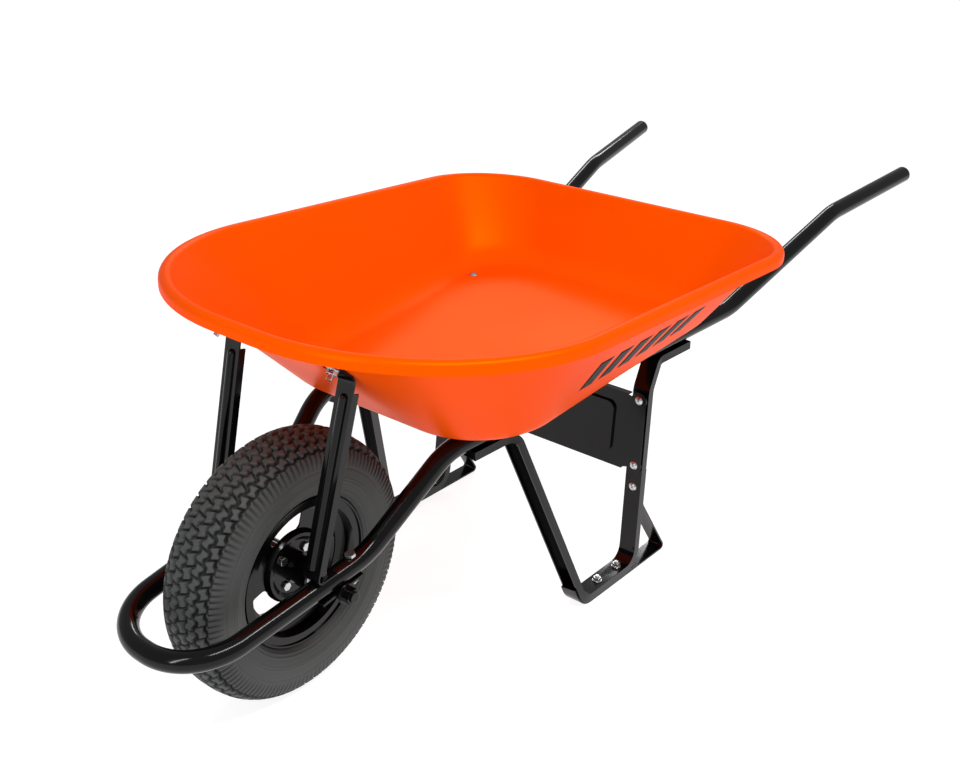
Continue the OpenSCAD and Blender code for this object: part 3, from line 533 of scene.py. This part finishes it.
def makeStripes(name, side):
    # slanted parallelograms laid on the wall: the low edge starts ahead of the high one
    rows, cols = stripes["steps"]
    step = (stripes["to"] - stripes["from"]) / stripes["count"]
    up, along = np.meshgrid(np.linspace(0, 1, rows), np.linspace(0, 1, cols), indexing="ij")
    share = stripes["low"] + (stripes["high"] - stripes["low"]) * up
    points, faces = [], []
    for i in range(stripes["count"]):
        t = stripes["from"] + step * (i + along * (1 - stripes["gap"])) + stripes["slant"] * up
        faces.append(gridFaces(rows, cols, False) + i * rows * cols)
        points.append(wallPoint(t, share, side).reshape(-1, 3))
    faces = np.concatenate(faces)
    obj = newMesh(name, toWorld(np.concatenate(points)), faces if side > 0 else faces[:, ::-1])
    film = obj.modifiers.new("film", "SOLIDIFY")
    film.thickness = stripes["film"] * mm
    film.offset = 1
    obj.data.materials.append(vinyl)
    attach(obj, "barrow")


makeStripes("sideStripesLeft", 1)
makeStripes("sideStripesRight", -1)
print("side stripes laid")


# tyre

tyre = {
    "outerR": 200, "width": 102, "midR": 149, "flangeR": 115, "beadY": 34.7, "seatR": 101.8,
    "crownPower": 0.6, "sidePower": 0.8,
    "pitches": 64, "columns": 6, "treadHalf": 47, "grooveDeep": 7, "grooveWide": 3.0, "grooveSide": 1.2,
    "step": 0.15, "stepSharp": 2.6, "blockLean": 0.3, "blockShift": 0.25,
    "ribsPerPitch": 2, "ribDeep": 2.6, "ribLong": 26, "ribGap": 1.3, "ribSide": 1.3, "ribTurn": 0.15,
    "ribFade": 0.7, "bandHalf": 78, "bandUnder": 7, "bandInside": 9, "tuck": 4, "tuckDeep": 1,
    "overlap": 2, "rampLong": 5, "treadLip": 2,
    "ridges": ((121, 0.9), (126, 0.9), (139, 0.7), (143, 0.7)), "ridgeWide": 1.1,
    "beadWide": 13, "hollowHigh": 30, "hollowHalf": 44, "hollowUp": 4,
    "bandRows": 96, "bandAround": 960, "crownRows": 61, "sideRows": 64, "hollowRows": 25,
    "sideAround": 288, "fineSteps": 4001,
}


def tyreProfile(s):
    # a flattened oval from the crown (s = 0) to the widest point (s = 1)
    a = np.clip(np.abs(s), 0, 1) * np.pi / 2
    r = tyre["midR"] + (tyre["outerR"] - tyre["midR"]) * np.abs(np.cos(a)) ** tyre["crownPower"]
    y = np.sign(s) * tyre["width"] / 2 * np.sin(a) ** tyre["sidePower"]
    return r, y


def ovalByArc(u):
    # the oval's point and outward direction at each distance u along it from the crown, and its
    # length from the crown to the widest point
    fine = np.linspace(-1, 1, tyre["fineSteps"])
    r, y = tyreProfile(fine)
    arc = np.concatenate([[0], np.cumsum(np.hypot(np.diff(r), np.diff(y)))])
    arc -= arc[-1] / 2
    slope = unit(np.stack([np.gradient(r, arc), np.gradient(y, arc)], 1))
    return [np.interp(u, arc, v) for v in (r, y, slope[:, 1], -slope[:, 0])], arc[-1]


def ringSurface(name, r, y, unshadedShare, around):
    # every (radius, width) pair of the profile turned about the axle, joined into a closed shell
    theta = np.arange(around) * 2 * np.pi / around
    points = np.stack([r * np.cos(theta) * mm + axleX, y * mm, r * np.sin(theta) * mm + axleZ], -1)
    obj = newMesh(name, points, gridFaces(len(r), around, True, True))
    # the stored share, kept under the name height, sets how much painted groove shade each point gets
    attribute = obj.data.attributes.new("height", "FLOAT", "POINT")
    attribute.data.foreach_set("value", unshadedShare.ravel().astype(np.float32))
    facesOut(obj)
    obj.data.materials.append(tyreRubber)
    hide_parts("tyre")
    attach(obj, "wheel")


def makeTread():
    # blocks stand between stepped grooves that run round the tyre and slanted ones that cross it,
    # half a pitch apart from column to column: each point sinks by how near it is to the nearest
    # groove, and long ribs run down the shoulders
    around = tyre["bandAround"]
    u = np.linspace(-tyre["bandHalf"], tyre["bandHalf"], tyre["bandRows"])
    r, y, outR, outY = ovalByArc(u)[0]
    pitchLen = 2 * np.pi * tyre["outerR"] / tyre["pitches"]
    uu, vv = np.meshgrid(u, np.arange(around) * tyre["pitches"] / around, indexing="ij")
    colW = 2 * tyre["treadHalf"] / tyre["columns"]
    wave = np.clip(tyre["stepSharp"] * (2 * np.abs(2 * (vv % 1) - 1) - 1), -1, 1)
    shifted = uu / colW + tyre["step"] * wave + tyre["columns"] / 2
    column = np.floor(shifted)
    along = np.abs(shifted - np.round(shifted)) * colW
    lean = np.where(column % 2 == 0, tyre["blockLean"], -tyre["blockLean"])
    crossAt = vv + 0.5 * (column % 2) + tyre["blockShift"] + lean * (shifted - column - 0.5)
    cross = np.abs(crossAt - np.round(crossAt)) * pitchLen
    nearest = np.minimum(along, cross)
    block = np.clip((nearest - tyre["grooveWide"] / 2) / tyre["grooveSide"], 0, 1)
    edge = np.abs(uu)
    ribLen = pitchLen / tyre["ribsPerPitch"]
    ribAt = vv * tyre["ribsPerPitch"] + tyre["ribTurn"] * np.sign(uu)
    rib = np.clip((np.abs(ribAt % 1 - 0.5) * ribLen - tyre["ribGap"]) / tyre["ribSide"], 0, 1)
    fade = np.clip(1 - (edge - tyre["treadHalf"]) / tyre["ribLong"], 0, 1) ** tyre["ribFade"]
    rib = 1 - (1 - rib) * fade
    inTread = edge < tyre["treadHalf"] + tyre["treadLip"]
    lift = np.where(inTread, tyre["grooveDeep"] * (block - 1), tyre["ribDeep"] * (rib - 1))
    # painted shade: the share left unshaded is squared on the blocks so the grooves and the gaps between
    # the shoulder ribs come out near black
    unshadedShare = np.where(inTread, block ** 2, rib)
    # the band's edges tuck under the sidewalls, and two inner rings close it
    lift -= tyre["tuckDeep"] * np.clip((edge - tyre["bandHalf"] + tyre["tuck"]) / tyre["tuck"], 0, 1)
    inside = np.full((2, around), -tyre["bandInside"])
    lift = np.concatenate([lift, inside])
    # the two inner rings, tucked under the sidewalls, get the full painted shade
    unshadedShare = np.concatenate([unshadedShare, inside * 0])
    r, y, outR, outY = (np.concatenate([v, v[-1:], v[:1]])[:, None] for v in (r, y, outR, outY))
    ringSurface("tyreTread", r + outR * lift, y + outY * lift, unshadedShare, around)


def makeCasing():
    # sidewalls, beads and hollow as plain rings: low under the tread band, full beside it, with
    # fine ridges at set radii that rise as a bell curve across each ridge
    around = tyre["sideAround"]
    halfArc = ovalByArc(0.0)[1]
    u = np.linspace(-1, 1, tyre["crownRows"]) * halfArc
    r, y, outR, outY = ovalByArc(u)[0]
    under = (tyre["bandHalf"] - tyre["overlap"] - np.abs(u)) / tyre["rampLong"]
    low = -tyre["bandUnder"] * np.clip(under, 0, 1)
    r, y = r + outR * low, y + outY * low
    b = np.linspace(0, np.pi / 2, tyre["sideRows"] + 1)[1:]
    sideR = tyre["midR"] - (tyre["midR"] - tyre["flangeR"]) * np.sin(b)
    ridge = sum(high * np.exp(-((sideR - at) / tyre["ridgeWide"]) ** 2) for at, high in tyre["ridges"])
    sideY = tyre["beadY"] + (tyre["width"] / 2 - tyre["beadY"]) * np.cos(b) + ridge
    beadR = tyre["seatR"] + np.array([0, 0, tyre["beadWide"]])
    beadY = tyre["beadY"] - np.array([0, tyre["beadWide"], tyre["beadWide"]])
    a = np.linspace(0, np.pi, tyre["hollowRows"])
    hollowR = tyre["midR"] + tyre["hollowUp"] + tyre["hollowHigh"] * np.sin(a)
    hollowY = tyre["hollowHalf"] * np.cos(a)
    ringR = np.concatenate([r, sideR, beadR, hollowR, beadR[::-1], sideR[::-1]])
    ringY = np.concatenate([y, sideY, beadY, hollowY, -beadY[::-1], -sideY[::-1]])
    ringR, ringY = (np.repeat(v[:, None], around, 1) for v in (ringR, ringY))
    ringSurface("tyreCasing", ringR, ringY, np.ones(ringR.shape), around)


makeTread()
makeCasing()
print("tyre moulded")


# straps, channels, plates, wheel metal and fasteners from the CAD nodes

pieces = {
    "black": (blackPaint, "black_paint", 0.7, "barrow",
        ("front_brace_left", "front_brace_right", "leg_left", "leg_right", "skid_left", "skid_right",
         "cross_plate", "axle_bracket_left", "axle_bracket_right")),
    "wheelBlack": (blackPaint, "black_paint", 0.6, "wheel", ("rim", "hub_tube")),
    "zinc": (zinc, "zinc_steel", 0.35, "barrow",
        ("brace_bolts", "brace_nuts", "skid_bolts", "skid_nuts", "plate_bolts", "plate_nuts", "tray_bolts",
         "tray_nuts", "bracket_bolts", "bracket_nuts", "axle_spacers", "bearing_inner_rings")),
    "axleBlack": (blackPaint, "black_paint", 0.5, "barrow", ("axle", "axle_nuts", "axle_washers")),
    "wheelZinc": (zinc, "zinc_steel", 0.35, "wheel", ("bearing_outer_rings", "rim_bolts", "rim_nuts")),
    "caps": (plastic, "black_plastic", 0, "barrow", ("handle_cap_left", "handle_cap_right")),
    "valve": (plastic, "black_plastic", 0.3, "wheel", ("valve_cap",)),
    "rubber": (tubeRubber, "tube_rubber", 0, "wheel", ("inner_tube", "valve_stem")),
}
for material, slotName, width, body, names in pieces.values():
    for name in names:
        finishedCopy(name, material, width, body)
print("metal pieces finished")


# stage, lights and camera

stage = {
    "floorColour": "8C8C8C", "floorGlow": 0.88, "size": 14, "worldColour": "FFFFFF",
    "worldSeen": 1.0, "worldLight": 0.42, "mottle": 3.0, "smoothest": 0.7, "roughest": 0.8,
}
# place, aim and size in metres, power in watts
lights = {
    "keyStrip": ((0.5, 1.3, 2.3), (0.0, 0.0, 0.3), (2.2, 0.18), 38),
    "frontStrip": ((2.6, 0.2, 1.7), (0.3, 0.0, 0.3), (0.16, 1.8), 16),
    "backStrip": ((-1.8, -1.4, 2.0), (0.0, 0.0, 0.4), (1.8, 0.25), 20),
}


def makeStage():
    # a pale matt floor that glows a little, so it stays white, and a white room round it
    mat, tree = newMaterial("paintedFloor")
    place = addNode(tree, "ShaderNodeTexCoord").outputs["Object"]
    mottle = addNode(tree, "ShaderNodeTexNoise", {
        "Vector": place, "Scale": stage["mottle"], "Detail": 2.0})
    rough = addNode(tree, "ShaderNodeMapRange", {
        "Value": mottle.outputs["Fac"], "To Min": stage["smoothest"],
        "To Max": stage["roughest"]})
    shader = addNode(tree, "ShaderNodeBsdfPrincipled", {
        "Base Color": toLinear(stage["floorColour"]), "Roughness": rough.outputs[0],
        "Emission Color": toLinear(stage["worldColour"]), "Emission Strength": stage["floorGlow"]})
    addNode(tree, "ShaderNodeOutputMaterial", {"Surface": shader.outputs[0]})
    s = stage["size"]
    corners = [(-s, -s, 0), (s, -s, 0), (s, s, 0), (-s, s, 0)]
    floor = newMesh("studioFloor", corners, [[0, 1, 2, 3]], False)
    floor.data.materials.append(mat)
    world = bpy.data.worlds.new("studio")
    world.use_nodes = True
    tree = world.node_tree
    tree.nodes.clear()
    path = addNode(tree, "ShaderNodeLightPath")
    white = toLinear(stage["worldColour"])
    seen = addNode(tree, "ShaderNodeBackground", {"Color": white, "Strength": stage["worldSeen"]})
    lit = addNode(tree, "ShaderNodeBackground", {"Color": white, "Strength": stage["worldLight"]})
    mix = addNode(tree, "ShaderNodeMixShader", {
        0: path.outputs["Is Camera Ray"], 1: lit.outputs[0], 2: seen.outputs[0]})
    addNode(tree, "ShaderNodeOutputWorld", {"Surface": mix.outputs[0]})
    scene.world = world


def areaLight(name, place, aim, size, power):
    # a rectangular lamp that faces its aim
    data = bpy.data.lights.new(name, "AREA")
    data.shape = "RECTANGLE"
    data.size, data.size_y = size
    data.energy = power
    obj = bpy.data.objects.new(name, data)
    obj.location = place
    obj.rotation_euler = (Vector(aim) - Vector(place)).to_track_quat("-Z", "Y").to_euler()
    scene.collection.objects.link(obj)


# place in millimetres from the axle, angles in degrees, sensor and lens in millimetres
view = {
    "place": (1004.57, 1064.03, 1127.91), "yaw": -139.91, "pitch": 23.32, "roll": 1.66,
    "sensor": 36, "lens": 44.9, "shiftX": 0.0726, "shiftY": -0.0104,
}


def makeCamera():
    # looks along its yaw and down by its pitch, then rolls about that line
    data = bpy.data.cameras.new("studioCamera")
    data.sensor_width = view["sensor"]
    data.lens = view["lens"]
    data.shift_x, data.shift_y = view["shiftX"], view["shiftY"]
    yaw, pitch, roll = (math.radians(view[k]) for k in ("yaw", "pitch", "roll"))
    level = math.cos(pitch)
    ahead = np.array([math.cos(yaw) * level, math.sin(yaw) * level, -math.sin(pitch)])
    right = unit(np.cross(ahead, [0, 0, 1.0]))
    up = np.cross(right, ahead)
    turnedRight = math.cos(roll) * right + math.sin(roll) * up
    turnedUp = -math.sin(roll) * right + math.cos(roll) * up
    obj = bpy.data.objects.new("studioCamera", data)
    x, y, z = (v * mm for v in view["place"])
    matrix = Matrix((turnedRight, turnedUp, -ahead)).transposed().to_4x4()
    matrix.translation = (x + axleX, y, z)
    obj.matrix_world = matrix
    scene.collection.objects.link(obj)
    scene.camera = obj


scene.view_settings.view_transform = "Standard"
makeStage()
for name, settings in lights.items():
    areaLight(name, *settings)
makeCamera()
print("stage, lights and camera set")
